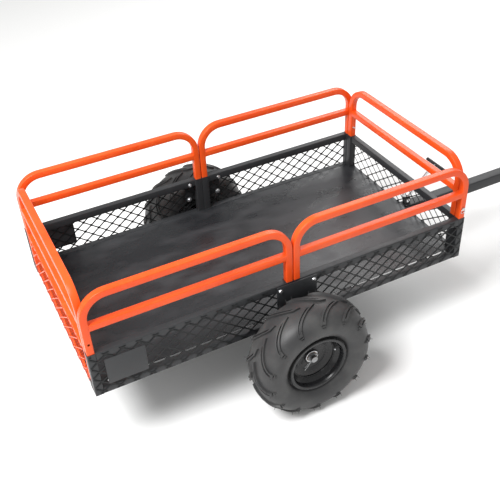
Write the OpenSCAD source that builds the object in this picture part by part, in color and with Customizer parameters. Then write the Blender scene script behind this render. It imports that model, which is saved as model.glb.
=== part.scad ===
// Tow-behind utility cart: a tilting bed with mesh sides, lift-off tubular rails and a lift-out
// tailgate, carried on a drawbar frame with two low-pressure tyres.
// +X points along the drawbar, +Y to the cart's left side, +Z up. The origin lies on the ground
// under the middle of the whole cart. Modules work from the middle of the bed's underside, and
// place() moves them to the ground frame.

/* [Bed] */
// Length of the bed
bed_l = 1500; // [1300:10:1800]
// Width of the bed
bed_w = 804; // [670:2:966]
// Height of the bed's walls, underside to rim
bed_h = 184; // [160:1:230]
// Side of the square tube in the frames and rails
tube = 25; // [20:1:30]
// Wall of the frame and rail tubes
tube_wall = 1.5; // [1.2:0.1:2.5]
// Height of the rim tube
rim_h = 30; // [25:1:40]
// Thickness of the floor sheet
floor_t = 1.5; // [1:0.1:3]
// Open slit between the floor sheet and the side tubes
floor_slit = 5; // [4.5:0.5:8]
// Free space on each side of a post in its socket
post_play = 0.5; // [0.3:0.1:1]
// Thickness of the plate that closes a socket's foot
socket_foot = 3; // [2:0.5:5]

/* [Mesh] */
// Length of one diamond of the expanded mesh
mesh_px = 57.5; // [45:0.5:75]
// Height of one diamond of the expanded mesh
mesh_pz = 45; // [35:0.5:55]
// Width of a mesh strand
strand_w = 3.6; // [2.5:0.1:6]
// Thickness of the mesh
mesh_t = 3; // [2:0.5:4]

/* [Rails] */
// Height of the rails above the rim
rail_rise = 234; // [200:1:300]
// Height of the lower edge of the rails' middle tube above the rim
mid_rise = 94; // [70:1:120]
// Centre-line radius of the rails' bends
bend_r = 85; // [60:1:100]
// How much higher the front rail stands in its sockets
front_raise = 6; // [1:1:12]
// Height of the quick-pin holes above the rim
pin_rise = 43; // [30:1:60]
// Diameter of the quick pins
pin_d = 8; // [6:0.5:10]

/* [Running gear] */
// Outside diameter of the tyres
tyre_d = 470; // [430:2:520]
// Width of the tyres
tyre_w = 184; // [160:2:200]
// Gap between the bed's side and the tyre
tyre_gap = 14; // [12:1:30]
// Diameter of the rim's bead seat
seat_d = 206; // [200:1:210]
// Width of the rim
wheel_rim_w = 140; // [130:1:145]
// Diameter of the wheel spindles
spindle_d = 25; // [20:1:28]
// Side of the axle beam
beam = 50; // [45:1:60]

/* [Drawbar] */
// Side of the drawbar tube
bar = 48; // [40:1:55]
// Wall of the drawbar tube and the axle beam
bar_wall = 3; // [2:0.5:4]
// How far the drawbar reaches ahead of the bed
bar_reach = 900; // [700:10:1200]
// Diameter of the hitch pin hole
hitch_d = 16.5; // [13:0.5:20]
// Distance of the tilt axis behind the middle of the bed
tilt_back = 130; // [110:5:200]

/* [Hidden] */
$fn = 64;

// Running gear heights, from the bed's underside down
seat_gap = 0.5;                             // air between the bed's tubes and the drawbar at rest
saddle_t = 3;
bar_z = -seat_gap - bar / 2;
beam_z = -seat_gap - bar - saddle_t - beam / 2;
ground_z = beam_z - tyre_d / 2;
hitch_r = bar / 2;
tip_x = bed_l / 2 + bar_reach;
shift_x = (bed_l / 2 - tip_x) / 2;

// Bed frame: sockets stand in the corners and in pairs at the middle of each side
socket_in = tube + 2 * post_play;
socket = socket_in + 2 * tube_wall;
half_l = bed_l / 2;
half_w = bed_w / 2;
side_y = half_w - socket / 2;               // centre plane of the side posts
gate_y = half_w - 1.5 * socket;             // centre plane of the front and tailgate posts
end_x = half_l - socket / 2;                // centre plane of the corner posts
rim_z = bed_h - rim_h / 2;
window_h = bed_h - rim_h - tube;            // mesh window between bottom tube and rim
window_z = tube + window_h / 2;
side_window = half_l - 2 * socket;
front_window = 2 * (gate_y - socket / 2);
mesh_in = 2;                                // front mesh set back from its frame's outer face
sheet_edge = 4;                             // side sheets stop short of the corners
sheet_low = 5;
sheet_top = bed_h - 8;
sill_back = 2.5;                            // sill set back behind the tailgate's mesh
cross_x = [-half_l + socket + tube / 2, -tilt_back, half_l / 3, 0.8 * half_l];
sill_socket_h = 36;                         // height of the short sockets that hold the tailgate

// Rails
post_z = socket_foot + 0.3;                 // foot of a post above the bed's underside
rail_h = bed_h + rail_rise - post_z;
mid_z = bed_h + mid_rise + tube / 2 - post_z;
pin_z = bed_h + pin_rise;
pin_play = 0.3;
side_span = half_l - socket;                // between the posts of one side rail
front_span = 2 * gate_y;
gate_low_z = bed_h - tube / 2 - post_z;     // tailgate's tube level with the rim
gate_strip_h = 20;
gate_strip_t = 4;
gate_strip_z = 34;
gate_mesh_t = (socket - tube) / 2;          // brings the mesh flush with the sockets
gate_mesh_w = 2 * (gate_y - socket / 2 - 1);

// Centre plates and name plates
plate_w = 160;
plate_h = 112;
plate_t = 4;
plate_x = 10;
plate_z = bed_h - 58;
plate_bolt_x = 67;
plate_bolt_top = bed_h - 19;
plate_bolt_low = bed_h - 104;
plate_bolt_d = 8;
name_w = 140;
name_h = 110;
name_t = 2;
name_x = -half_l + 120;
name_z = bed_h / 2 + 3;

// Tilt hinge
tilt_z = -25;
hinge_y = 170;
hinge_pin_d = 12;
bracket_t = 6;
ear_t = 5;
side_play = 0.5;
run_play = 0.05;

// Bolted joints of the drawbar
axle_bolt_x = 14;
axle_bolt_d = 12;
bar_end_x = tip_x - 70;
hitch_bolt_x = [tip_x - 132, tip_x - 92];
hitch_bolt_d = 10;
hitch_plate_t = 6;
hitch_plate_l = 155;

// Latch
latch_x = half_l + 40;
latch_z = 22;
latch_open = 55;
latch_t = 6;
latch_pin_d = 10;
cheek_t = 5;
knee = [98, 102];                           // bend of the lever's shank, from its pivot
grip_at = [142, 129];                       // middle of the T-grip, from the lever's pivot
grip_l = 124;
grip_d = 15;
shank_w = 12;
tab_l = 12;
tab_t = 6;
tab_z = 8;

// Wheels
wheel_y = half_w + tyre_gap + tyre_w / 2;
seat_r = seat_d / 2;
flange_r = seat_r + 11;
drop_r = seat_r - 15;
rim_t = 3;
hub_r = 25;
hub_in = -wheel_rim_w / 2;                  // hub ends, outward from the tyre's middle plane
hub_out = 22;
bush_r = 20;
bush_l = 26;
bush_play = 0.05;
spindle_end = wheel_y + hub_out + 18;
beam_end = half_w - 7;
tread_wall = 12;
pin_back = 8;                               // split pin's distance from the spindle's end
pin_turn = 45;                              // lean of the split pin from upright
split_pin_d = 4;
valve_d = 11;
valve_turn = -30;
valve_lean = atan2(12, 15);                 // the valve stands square on the rim's sloping wall

steel_black = [0.16, 0.17, 0.18];
rail_orange = [0.93, 0.36, 0.16];
zinc = [0.76, 0.77, 0.78];
rubber_black = [0.08, 0.08, 0.08];

// ---- Shared shapes ----

// Moves the bed's frame to the ground frame
module place() {
    translate([shift_x, 0, -ground_z]) children();
}

// One quarter of the bed: fore is 1 or -1, side is 1 for left and -1 for right
module quarter(fore, side) {
    mirror([fore < 0 ? 1 : 0, 0, 0])
        mirror([0, side < 0 ? 1 : 0, 0])
            children();
}

// Hollow rectangular tube along X, centred
module tube_along_x(l, a, b, wall) {
    difference() {
        cube([l, a, b], center = true);
        cube([l + 1, a - 2 * wall, b - 2 * wall], center = true);
    }
}

// Hollow square tube standing on z = 0
module post(h) {
    translate([0, 0, h / 2])
        rotate([0, 90, 0])
            tube_along_x(h, tube, tube, tube_wall);
}

// Socket for a post, closed at its foot
module post_socket(h) {
    difference() {
        translate([-socket / 2, -socket / 2, 0]) cube([socket, socket, h]);
        translate([-socket_in / 2, -socket_in / 2, socket_foot]) cube([socket_in, socket_in, h]);
    }
}

// Square tube bent through a right angle, from +X round to +Z
module bend() {
    rotate([90, 0, 0])
        rotate_extrude(angle = 90)
            translate([bend_r, 0])
                difference() {
                    square(tube, center = true);
                    square(tube - 2 * tube_wall, center = true);
                }
}

// Hoop of bent tube in the XZ plane, span between the centres of its posts
module hoop(span, h) {
    straight = h - tube / 2 - bend_r;
    for (s = [0, 1])
        mirror([s, 0, 0]) {
            translate([span / 2, 0, 0]) post(straight);
            translate([span / 2 - bend_r, 0, straight]) bend();
        }
    translate([0, 0, h - tube / 2]) tube_along_x(span - 2 * bend_r, tube, tube, tube_wall);
}

// Sheet of expanded mesh in the XZ plane, centred, with an unbroken edge
module diamond_sheet(w, h, t) {
    columns = ceil(w / mesh_px) + 1;
    rows = ceil(h / mesh_pz) + 1;
    reach = mesh_px * mesh_pz / 4 / norm([mesh_px / 2, mesh_pz / 2]);
    k = 1 - strand_w / 2 / reach;
    rotate([90, 0, 0])
        linear_extrude(t, center = true)
            difference() {
                square([w, h], center = true);
                intersection() {
                    square([w - 2 * strand_w, h - 2 * strand_w], center = true);
                    for (i = [-columns:columns], j = [-rows:rows])
                        if ((i + j) % 2 == 0)
                            translate([i * mesh_px / 2, j * mesh_pz / 2])
                                polygon([[k * mesh_px / 2, 0], [0, k * mesh_pz / 2],
                                         [-k * mesh_px / 2, 0], [0, -k * mesh_pz / 2]]);
                }
            }
}

// Bolt with its nut, head on z = 0 and clamped length below it
module bolt_and_nut(d, grip) {
    across = 1.65 * d / cos(30);
    cylinder(h = 0.6 * d, d = across, $fn = 6);
    translate([0, 0, -grip - 1.1 * d]) cylinder(h = grip + 1.1 * d + 0.1, d = d);
    translate([0, 0, -grip - 0.8 * d]) cylinder(h = 0.8 * d, d = across, $fn = 6);
}

// ---- Drawbar and axle ----

module tongue_tube() {
    back = -60;
    color(steel_black) place()
        difference() {
            translate([(bar_end_x + back) / 2, 0, bar_z])
                tube_along_x(bar_end_x - back, bar, bar, bar_wall);
            for (x = [-axle_bolt_x, axle_bolt_x])
                translate([x, 0, bar_z]) cylinder(h = bar + 2, d = axle_bolt_d, center = true);
            for (x = hitch_bolt_x)
                translate([x, 0, bar_z]) cylinder(h = bar + 2, d = hitch_bolt_d, center = true);
        }
}

module axle_saddle() {
    color(steel_black) place()
        difference() {
            translate([-60, -40, -seat_gap - bar - saddle_t]) cube([120, 80, saddle_t]);
            for (x = [-axle_bolt_x, axle_bolt_x])
                translate([x, 0, beam_z]) cylinder(h = 2 * beam, d = axle_bolt_d);
        }
}

module axle_beam() {
    color(steel_black) place()
        difference() {
            translate([0, 0, beam_z])
                rotate([0, 0, 90])
                    tube_along_x(2 * beam_end, beam, beam, bar_wall);
            for (x = [-axle_bolt_x, axle_bolt_x])
                translate([x, 0, beam_z]) cylinder(h = beam + 2, d = axle_bolt_d, center = true);
        }
}

module axle_bolts() {
    color(zinc) place()
        for (x = [-axle_bolt_x, axle_bolt_x])
            translate([x, 0, -seat_gap]) bolt_and_nut(axle_bolt_d, bar + saddle_t + beam);
}

// Stub with a square root inside the beam, a shoulder and the bearing journal
module axle_spindles() {
    root = beam - 2 * bar_wall;
    shoulder = wheel_y + hub_in - 1;
    color(zinc) place()
        for (side = [0, 1])
            mirror([0, side, 0])
                translate([0, 0, beam_z])
                    difference() {
                        union() {
                            translate([-root / 2, beam_end - 60, -root / 2]) cube([root, 60, root]);
                            rotate([-90, 0, 0]) {
                                translate([0, 0, beam_end]) cylinder(h = shoulder - beam_end, r = 17);
                                translate([0, 0, shoulder])
                                    cylinder(h = spindle_end - shoulder, d = spindle_d);
                            }
                        }
                        translate([0, spindle_end - pin_back, 0])
                            rotate([0, pin_turn, 0])
                                cylinder(h = 2 * spindle_d, d = split_pin_d + 0.4, center = true);
                    }
}

module spindle_washers() {
    color(zinc) place()
        for (side = [0, 1])
            mirror([0, side, 0])
                translate([0, wheel_y + hub_out + 1, beam_z])
                    rotate([-90, 0, 0])
                        difference() {
                            cylinder(h = 3, r = 19);
                            translate([0, 0, -1]) cylinder(h = 5, d = spindle_d);
                        }
}

// Long split pins through the spindles' ends, with a ring at the upper end
module spindle_cotters() {
    tail = spindle_d / 2 + 42;
    color(zinc) place()
        for (side = [0, 1])
            mirror([0, side, 0])
                translate([0, spindle_end - pin_back, beam_z])
                    rotate([0, pin_turn, 0]) {
                        translate([0, 0, -tail]) cylinder(h = tail + spindle_d / 2 + 3, d = split_pin_d);
                        translate([0, 0, spindle_d / 2 + 6])
                            rotate([0, 90, 0])
                                rotate_extrude() translate([4.5, 0]) circle(d = 3);
                    }
}

module drawbar_braces() {
    front = [560, bar / 2];
    back = [0, 300];
    step = front - back;
    brace_z = -seat_gap - bar - saddle_t + tube / 2;
    color(steel_black) place()
        for (side = [0, 1])
            mirror([0, side, 0])
                difference() {
                    translate([back[0], back[1], brace_z])
                        rotate([0, 0, atan2(step[1], step[0])])
                            translate([norm(step) / 2, 0, 0])
                                tube_along_x(norm(step) + 20, tube, tube, tube_wall);
                    translate([0, -bar / 2, bar_z - bar]) cube([tip_x, bar, 2 * bar]);
                }
}

module hinge_brackets() {
    color(steel_black) place()
        for (side = [-1, 1])
            translate([0, side * hinge_y, 0])
                rotate([90, 0, 0])
                    linear_extrude(bracket_t, center = true)
                        difference() {
                            union() {
                                polygon([[-beam / 2, beam_z - 20], [-beam / 2, beam_z + 22],
                                         [-tilt_back + 6, tilt_z + 13], [-tilt_back - 8, tilt_z - 13]]);
                                translate([-tilt_back, tilt_z]) circle(r = 16);
                            }
                            translate([-tilt_back, tilt_z]) circle(d = hinge_pin_d);
                        }
}

module hinge_pins() {
    reach = bracket_t / 2 + side_play + ear_t + 3;
    color(zinc) place()
        for (side = [-1, 1])
            translate([-tilt_back, side * hinge_y, tilt_z])
                rotate([90, 0, 0]) {
                    cylinder(h = 2 * reach, d = hinge_pin_d, center = true);
                    for (s = [-1, 1])
                        translate([0, 0, s * (reach + 1)]) cylinder(h = 4, d = 18, center = true);
                }
}

module hitch_plates() {
    color(steel_black) place()
        for (z = [-seat_gap, -seat_gap - bar - hitch_plate_t])
            translate([0, 0, z])
                difference() {
                    union() {
                        translate([tip_x - hitch_plate_l, -hitch_r, 0])
                            cube([hitch_plate_l - hitch_r, bar, hitch_plate_t]);
                        translate([tip_x - hitch_r, 0, 0]) cylinder(h = hitch_plate_t, r = hitch_r);
                    }
                    translate([tip_x - hitch_r, 0, -1]) cylinder(h = hitch_plate_t + 2, d = hitch_d);
                    for (x = hitch_bolt_x)
                        translate([x, 0, -1]) cylinder(h = hitch_plate_t + 2, d = hitch_bolt_d);
                }
}

module hitch_bolts() {
    color(zinc) place()
        for (x = hitch_bolt_x)
            translate([x, 0, hitch_plate_t - seat_gap])
                bolt_and_nut(hitch_bolt_d, bar + 2 * hitch_plate_t);
}

// ---- Latch on the drawbar ----

module latch_bracket() {
    base_t = 4;
    cheek_y = latch_t / 2 + side_play;
    color(steel_black) place()
        difference() {
            union() {
                translate([latch_x - 16, -20, -seat_gap]) cube([90, 40, base_t]);
                for (s = [-1, 1])
                    translate([latch_x - 14, s < 0 ? -cheek_y - cheek_t : cheek_y, -seat_gap])
                        cube([28, cheek_t, latch_z + 14]);
            }
            translate([latch_x, 0, latch_z])
                rotate([90, 0, 0]) cylinder(h = 60, d = latch_pin_d, center = true);
        }
}

module latch_pivot() {
    reach = latch_t / 2 + side_play + cheek_t;
    color(zinc) place()
        translate([latch_x, 0, latch_z])
            rotate([-90, 0, 0]) {
                translate([0, 0, -reach - 2]) cylinder(h = 2 * reach + 14, d = latch_pin_d);
                translate([0, 0, -reach - 5]) cylinder(h = 5, d = 16);
                translate([0, 0, reach + 11]) cylinder(h = 3, d = 16);
            }
}

// Torsion spring on the pivot, drawn as close turns with a leg against the bracket's base
module latch_spring() {
    wire = 2.6;
    turn_r = latch_pin_d / 2 + wire / 2 + 0.4;
    first = latch_t / 2 + side_play + cheek_t + wire / 2 + 0.3;
    color(zinc) place()
        translate([latch_x, 0, latch_z]) {
            for (i = [0:2])
                translate([0, first + i * wire, 0])
                    rotate([90, 0, 0]) rotate_extrude() translate([turn_r, 0]) circle(d = wire + 0.1);
            translate([turn_r, first, -latch_z + 3.6]) cylinder(h = latch_z - 3.6, d = wire);
        }
}

// Side outline of the lever, from its pivot: hook, boss and bent shank
module lever_outline() {
    rotate(-latch_open)
        polygon([[-38, -4], [-28, -4], [-23, 1], [-7, -9], [8, -6], [5, 9], [-38, 7]]);
    circle(r = 13);
    shank_piece([0, 0], knee);
    translate(knee) circle(d = shank_w + 1);
    shank_piece(knee, grip_at);
}

module shank_piece(from, to) {
    step = to - from;
    translate(from)
        rotate(atan2(step[1], step[0]))
            translate([0, -shank_w / 2]) square([norm(step), shank_w]);
}

// Lever with its hook swung clear of the striker
module latch_lever() {
    color(zinc) place()
        translate([latch_x, 0, latch_z])
            rotate([90, 0, 0])
                linear_extrude(latch_t, center = true)
                    difference() {
                        lever_outline();
                        circle(d = latch_pin_d + 2 * run_play);
                    }
}

module latch_grip() {
    color(rubber_black) place()
        translate([latch_x, 0, latch_z])
            difference() {
                translate([grip_at[0], 0, grip_at[1]])
                    rotate([90, 0, 0]) {
                        cylinder(h = grip_l - grip_d, d = grip_d, center = true);
                        for (s = [-1, 1])
                            translate([0, 0, s * (grip_l - grip_d) / 2]) sphere(d = grip_d);
                    }
                rotate([90, 0, 0]) linear_extrude(latch_t, center = true) lever_outline();
            }
}

// ---- Bed ----

// Holes for the bolts of both centre plates
module plate_bolt_holes() {
    for (x = [-plate_bolt_x, plate_bolt_x], z = [plate_bolt_low, plate_bolt_top])
        translate([plate_x + x, 0, z])
            rotate([90, 0, 0]) cylinder(h = bed_w + 20, d = plate_bolt_d, center = true);
}

// Frame of one quarter of the side: rim, bottom tube and the sockets at both ends
module side_frame(fore, side) {
    mid_x = half_l / 2;
    color(steel_black) place()
        difference() {
            quarter(fore, side) {
                for (x = [socket / 2, end_x])
                    translate([x, side_y, 0]) post_socket(bed_h);
                translate([mid_x, half_w - tube / 2, rim_z])
                    tube_along_x(side_window, tube, rim_h, tube_wall);
                translate([mid_x, half_w - tube / 2, tube / 2])
                    tube_along_x(side_window, tube, tube, tube_wall);
            }
            plate_bolt_holes();
        }
}

// Mesh sheet laid on the outside of a side frame
module side_mesh(fore, side) {
    color(steel_black) place()
        difference() {
            quarter(fore, side)
                translate([half_l / 2, half_w + mesh_t / 2, (sheet_low + sheet_top) / 2])
                    diamond_sheet(half_l - 2 * sheet_edge, sheet_top - sheet_low, mesh_t);
            plate_bolt_holes();
        }
}

module front_frame() {
    color(steel_black) place() {
        for (s = [-1, 1])
            translate([end_x, s * gate_y, 0]) post_socket(bed_h);
        translate([half_l - tube / 2, 0, rim_z])
            rotate([0, 0, 90]) tube_along_x(front_window, tube, rim_h, tube_wall);
        translate([half_l - tube / 2, 0, tube / 2])
            rotate([0, 0, 90]) tube_along_x(front_window, tube, tube, tube_wall);
    }
}

module front_mesh() {
    color(steel_black) place()
        translate([half_l - mesh_in - mesh_t / 2, 0, window_z])
            rotate([0, 0, 90]) diamond_sheet(front_window, window_h, mesh_t);
}

// Rear bottom tube with the two short sockets that hold the tailgate's posts
module rear_sill() {
    color(steel_black) place() {
        for (s = [-1, 1])
            translate([-end_x, s * gate_y, 0]) post_socket(sill_socket_h);
        translate([-half_l + sill_back + tube / 2, 0, tube / 2])
            rotate([0, 0, 90]) tube_along_x(front_window, tube, tube, tube_wall);
    }
}

module cross_members() {
    color(steel_black) place()
        for (x = cross_x)
            translate([x, 0, tube / 2])
                rotate([0, 0, 90]) tube_along_x(2 * (half_w - tube), tube, tube, tube_wall);
}

// Floor sheet on the bottom tubes, notched round the corner sockets
module floor_sheet() {
    edge_y = half_w - tube - floor_slit;
    notch_y = gate_y - socket / 2 - 1;
    notch_x = half_l - socket - 1;
    edge_x = half_l - 10;
    color(steel_black) place()
        translate([0, 0, tube])
            linear_extrude(floor_t) {
                square([2 * notch_x, 2 * edge_y], center = true);
                square([2 * edge_x, 2 * notch_y], center = true);
            }
}

// Two pairs of ears that straddle the hinge brackets
module pivot_ears() {
    ear_y = bracket_t / 2 + side_play + ear_t / 2;
    color(steel_black) place()
        for (side = [-1, 1], s = [-1, 1])
            translate([-tilt_back, side * hinge_y + s * ear_y, 0])
                rotate([90, 0, 0])
                    linear_extrude(ear_t, center = true)
                        difference() {
                            union() {
                                polygon([[-tube / 2, 0], [tube / 2, 0], [10, tilt_z - 7],
                                         [-10, tilt_z - 7]]);
                                translate([0, tilt_z]) circle(r = 14);
                            }
                            translate([0, tilt_z]) circle(d = hinge_pin_d + 2 * run_play);
                        }
}

module striker_tab() {
    color(steel_black) place()
        translate([half_l, -20, tab_z]) cube([tab_l, 40, tab_t]);
}

module centre_plates() {
    color(steel_black) place()
        difference() {
            for (side = [0, 1])
                mirror([0, side, 0])
                    translate([plate_x - plate_w / 2, half_w + mesh_t, plate_z - plate_h / 2])
                        cube([plate_w, plate_t, plate_h]);
            plate_bolt_holes();
        }
}

// Upper bolts go through the rim, lower ones clamp the mesh with a washer behind it
module centre_bolts() {
    skin = plate_t + mesh_t;
    washer_t = 2;
    color(zinc) place()
        for (side = [0, 1])
            mirror([0, side, 0])
                for (x = [-plate_bolt_x, plate_bolt_x])
                    translate([plate_x + x, half_w + skin, 0]) {
                        translate([0, 0, plate_bolt_top])
                            rotate([-90, 0, 0]) bolt_and_nut(plate_bolt_d, skin + tube);
                        translate([0, 0, plate_bolt_low])
                            rotate([-90, 0, 0]) {
                                bolt_and_nut(plate_bolt_d, skin + washer_t);
                                translate([0, 0, -skin - washer_t])
                                    cylinder(h = washer_t, d = 24);
                            }
                    }
}

module name_plates() {
    color([0.3, 0.3, 0.32]) place()
        for (side = [0, 1])
            mirror([0, side, 0])
                translate([name_x - name_w / 2, half_w + mesh_t, name_z - name_h / 2])
                    cube([name_w, name_t, name_h]);
}

// ---- Rails ----

// Rail over one quarter of the side, drilled at the corner post for a quick pin
module side_hoop(fore, side) {
    color(rail_orange) place() quarter(fore, side)
        difference() {
            translate([half_l / 2, side_y, post_z]) hoop(side_span, rail_h);
            translate([end_x, side_y, pin_z])
                rotate([90, 0, 0]) cylinder(h = 2 * tube, d = pin_d + 2 * pin_play, center = true);
        }
}

module side_bar(fore, side) {
    color(rail_orange) place() quarter(fore, side)
        translate([half_l / 2, side_y, post_z + mid_z])
            tube_along_x(side_span - tube, tube, tube, tube_wall);
}

// Hoop across the bed, drilled through both posts for the quick pins. A raised hoop stands
// higher in its sockets, so its pin holes sit lower on its posts.
module cross_hoop(raise) {
    difference() {
        translate([0, 0, raise]) rotate([0, 0, 90]) hoop(front_span, rail_h);
        translate([0, 0, pin_z - post_z])
            rotate([90, 0, 0])
                cylinder(h = front_span + 2 * tube, d = pin_d + 2 * pin_play, center = true);
    }
}

module front_hoop() {
    color(rail_orange) place()
        translate([end_x, 0, post_z]) cross_hoop(front_raise);
}

module front_bar() {
    color(rail_orange) place()
        translate([end_x, 0, post_z + front_raise + mid_z])
            rotate([0, 0, 90]) tube_along_x(front_span - tube, tube, tube, tube_wall);
}

module tailgate_hoop() {
    color(rail_orange) place()
        translate([-end_x, 0, post_z]) cross_hoop(0);
}

// Middle tube, tube level with the rim and the flat strip behind the mesh's lower part
module tailgate_bars() {
    color(rail_orange) place()
        translate([-end_x, 0, post_z]) {
            for (z = [mid_z, gate_low_z])
                translate([0, 0, z])
                    rotate([0, 0, 90]) tube_along_x(front_span - tube, tube, tube, tube_wall);
            translate([-tube / 2, -(front_span - tube) / 2, gate_strip_z])
                cube([gate_strip_t, front_span - tube, gate_strip_h]);
        }
}

// Mesh laid on the outside of the tailgate, hanging down over the sill
module tailgate_mesh() {
    color(rail_orange) place()
        translate([-half_l + gate_mesh_t / 2, 0, (sheet_low + sheet_top) / 2])
            rotate([0, 0, 90]) diamond_sheet(gate_mesh_w, sheet_top - sheet_low, gate_mesh_t);
}

// Ball-lock pin through the corner posts, with a collar and pull ring outside
module quick_pin(side) {
    outside = side_y + tube / 2 - gate_y;
    inside = tube / 2 + 8;
    color(zinc) place()
        mirror([0, side < 0 ? 1 : 0, 0])
            translate([end_x, gate_y, pin_z]) {
                rotate([-90, 0, 0]) {
                    translate([0, 0, -inside]) cylinder(h = inside + outside + 2, d = pin_d);
                    translate([0, 0, outside + 0.4]) cylinder(h = 6, d = 14);
                }
                translate([0, outside + 4, -11])
                    rotate([90, 0, 0]) rotate_extrude() translate([9, 0]) circle(d = 2.4);
            }
}

// ---- Wheels ----

// Places a wheel part: +Y of the part points outward from the cart
module wheel_place(side) {
    place()
        mirror([0, side < 0 ? 1 : 0, 0])
            translate([0, wheel_y, beam_z])
                rotate([-90, 0, 0])
                    children();
}

// Point of a rounded-square outline, angle 0 at the outer side and 90 at the crown
function tyre_point(a, half, mid_r, crown) =
    [mid_r + crown * sign(sin(a)) * sqrt(abs(sin(a))), half * sign(cos(a)) * sqrt(abs(cos(a)))];

// Carcass with beads that sit inside the rim's flanges
module tyre(side) {
    mid_r = (tyre_d / 2 + seat_r) / 2 + 0.5;
    crown = tyre_d / 2 - mid_r;
    bead_y = wheel_rim_w / 2 - rim_t - 0.5;
    bead_in = bead_y - 12;
    low = -50;
    color(rubber_black)
        wheel_place(side)
            rotate_extrude($fn = 96)
                polygon(concat(
                    [[seat_r + 0.3, -bead_y], [flange_r + 3, -bead_y]],
                    [for (a = [180 - low:-10:low]) tyre_point(a, tyre_w / 2, mid_r, crown)],
                    [[flange_r + 3, bead_y], [seat_r + 0.3, bead_y], [seat_r + 0.3, bead_in]],
                    [for (a = [low:10:180 - low])
                        tyre_point(a, tyre_w / 2 - tread_wall, mid_r, crown - tread_wall)],
                    [[seat_r + 0.3, -bead_in]]));
}

// Square on the outer sloping wall between the rim's well and its bead seat
module on_valve_axis() {
    rotate([0, 0, valve_turn])
        translate([(drop_r + seat_r) / 2, 0, wheel_rim_w / 2 - 28])
            rotate([0, -valve_lean, 0])
                children();
}

// Drop-centre rim and its dished disc
module rim(side) {
    e = wheel_rim_w / 2;
    color(steel_black)
        wheel_place(side) difference() {
            rotate_extrude($fn = 96) {
                polygon([[flange_r, e], [flange_r, e - rim_t], [seat_r, e - rim_t], [seat_r, e - 22],
                         [drop_r, e - 34], [drop_r, -e + 34], [seat_r, -e + 22],
                         [seat_r, -e + rim_t], [flange_r, -e + rim_t], [flange_r, -e],
                         [seat_r - rim_t, -e], [seat_r - rim_t, -e + 23], [drop_r - rim_t, -e + 35],
                         [drop_r - rim_t, e - 35], [seat_r - rim_t, e - 23], [seat_r - rim_t, e]]);
                polygon([[drop_r - 1, e - 38], [drop_r - 1, e - 42], [62, e - 56], [hub_r, e - 56],
                         [hub_r, e - 52], [61, e - 52]]);
            }
            on_valve_axis() cylinder(h = 20, d = valve_d, center = true);
        }
}

module hub(side) {
    color(zinc)
        wheel_place(side)
            translate([0, 0, hub_in])
                difference() {
                    cylinder(h = hub_out - hub_in, r = hub_r);
                    translate([0, 0, -1]) cylinder(h = hub_out - hub_in + 2, r = bush_r);
                }
}

// Flangeless bushes pressed into both ends of the hub
module bushes(side) {
    color([0.72, 0.55, 0.3])
        wheel_place(side)
            for (z = [hub_in, hub_out - bush_l])
                translate([0, 0, z])
                    difference() {
                        cylinder(h = bush_l, r = bush_r);
                        translate([0, 0, -1])
                            cylinder(h = bush_l + 2, r = spindle_d / 2 + bush_play);
                    }
}

// Snap-in valve: a collar on the air side, a neck through the wall and the stem
module valve(side) {
    color(rubber_black)
        wheel_place(side)
            on_valve_axis() {
                translate([0, 0, -2]) cylinder(h = 2, d = valve_d + 4);
                translate([0, 0, -0.1]) cylinder(h = 7, d = valve_d);
                translate([0, 0, 6.8]) cylinder(h = 22, d = 8);
            }
}

tongue_tube();
axle_saddle();
axle_beam();
axle_bolts();
axle_spindles();
drawbar_braces();
hinge_brackets();
hinge_pins();
hitch_plates();
hitch_bolts();
latch_bracket();
latch_pivot();
latch_spring();
spindle_washers();
spindle_cotters();
latch_lever();
latch_grip();
floor_sheet();
cross_members();
pivot_ears();
rear_sill();
striker_tab();
side_frame(1, 1);  // left_front_frame
side_frame(-1, 1);  // left_rear_frame
side_frame(1, -1);  // right_front_frame
side_frame(-1, -1);  // right_rear_frame
front_frame();
side_mesh(1, 1);  // left_front_mesh
side_mesh(-1, 1);  // left_rear_mesh
side_mesh(1, -1);  // right_front_mesh
side_mesh(-1, -1);  // right_rear_mesh
front_mesh();
centre_plates();
centre_bolts();
name_plates();
side_hoop(1, 1);  // left_front_hoop
side_hoop(-1, 1);  // left_rear_hoop
side_hoop(1, -1);  // right_front_hoop
side_hoop(-1, -1);  // right_rear_hoop
front_hoop();
side_bar(1, 1);  // left_front_bar
side_bar(-1, 1);  // left_rear_bar
side_bar(1, -1);  // right_front_bar
side_bar(-1, -1);  // right_rear_bar
front_bar();
tailgate_hoop();
tailgate_bars();
tailgate_mesh();
quick_pin(1);  // left_quick_pin
quick_pin(-1);  // right_quick_pin
tyre(1);  // left_tyre
rim(1);  // left_rim
hub(1);  // left_hub
bushes(1);  // left_bushes
valve(1);  // left_valve
tyre(-1);  // right_tyre
rim(-1);  // right_rim
hub(-1);  // right_hub
bushes(-1);  // right_bushes
valve(-1);  // right_valve
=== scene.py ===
import bmesh
import bpy
import math
from mathutils import Matrix, Vector


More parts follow.
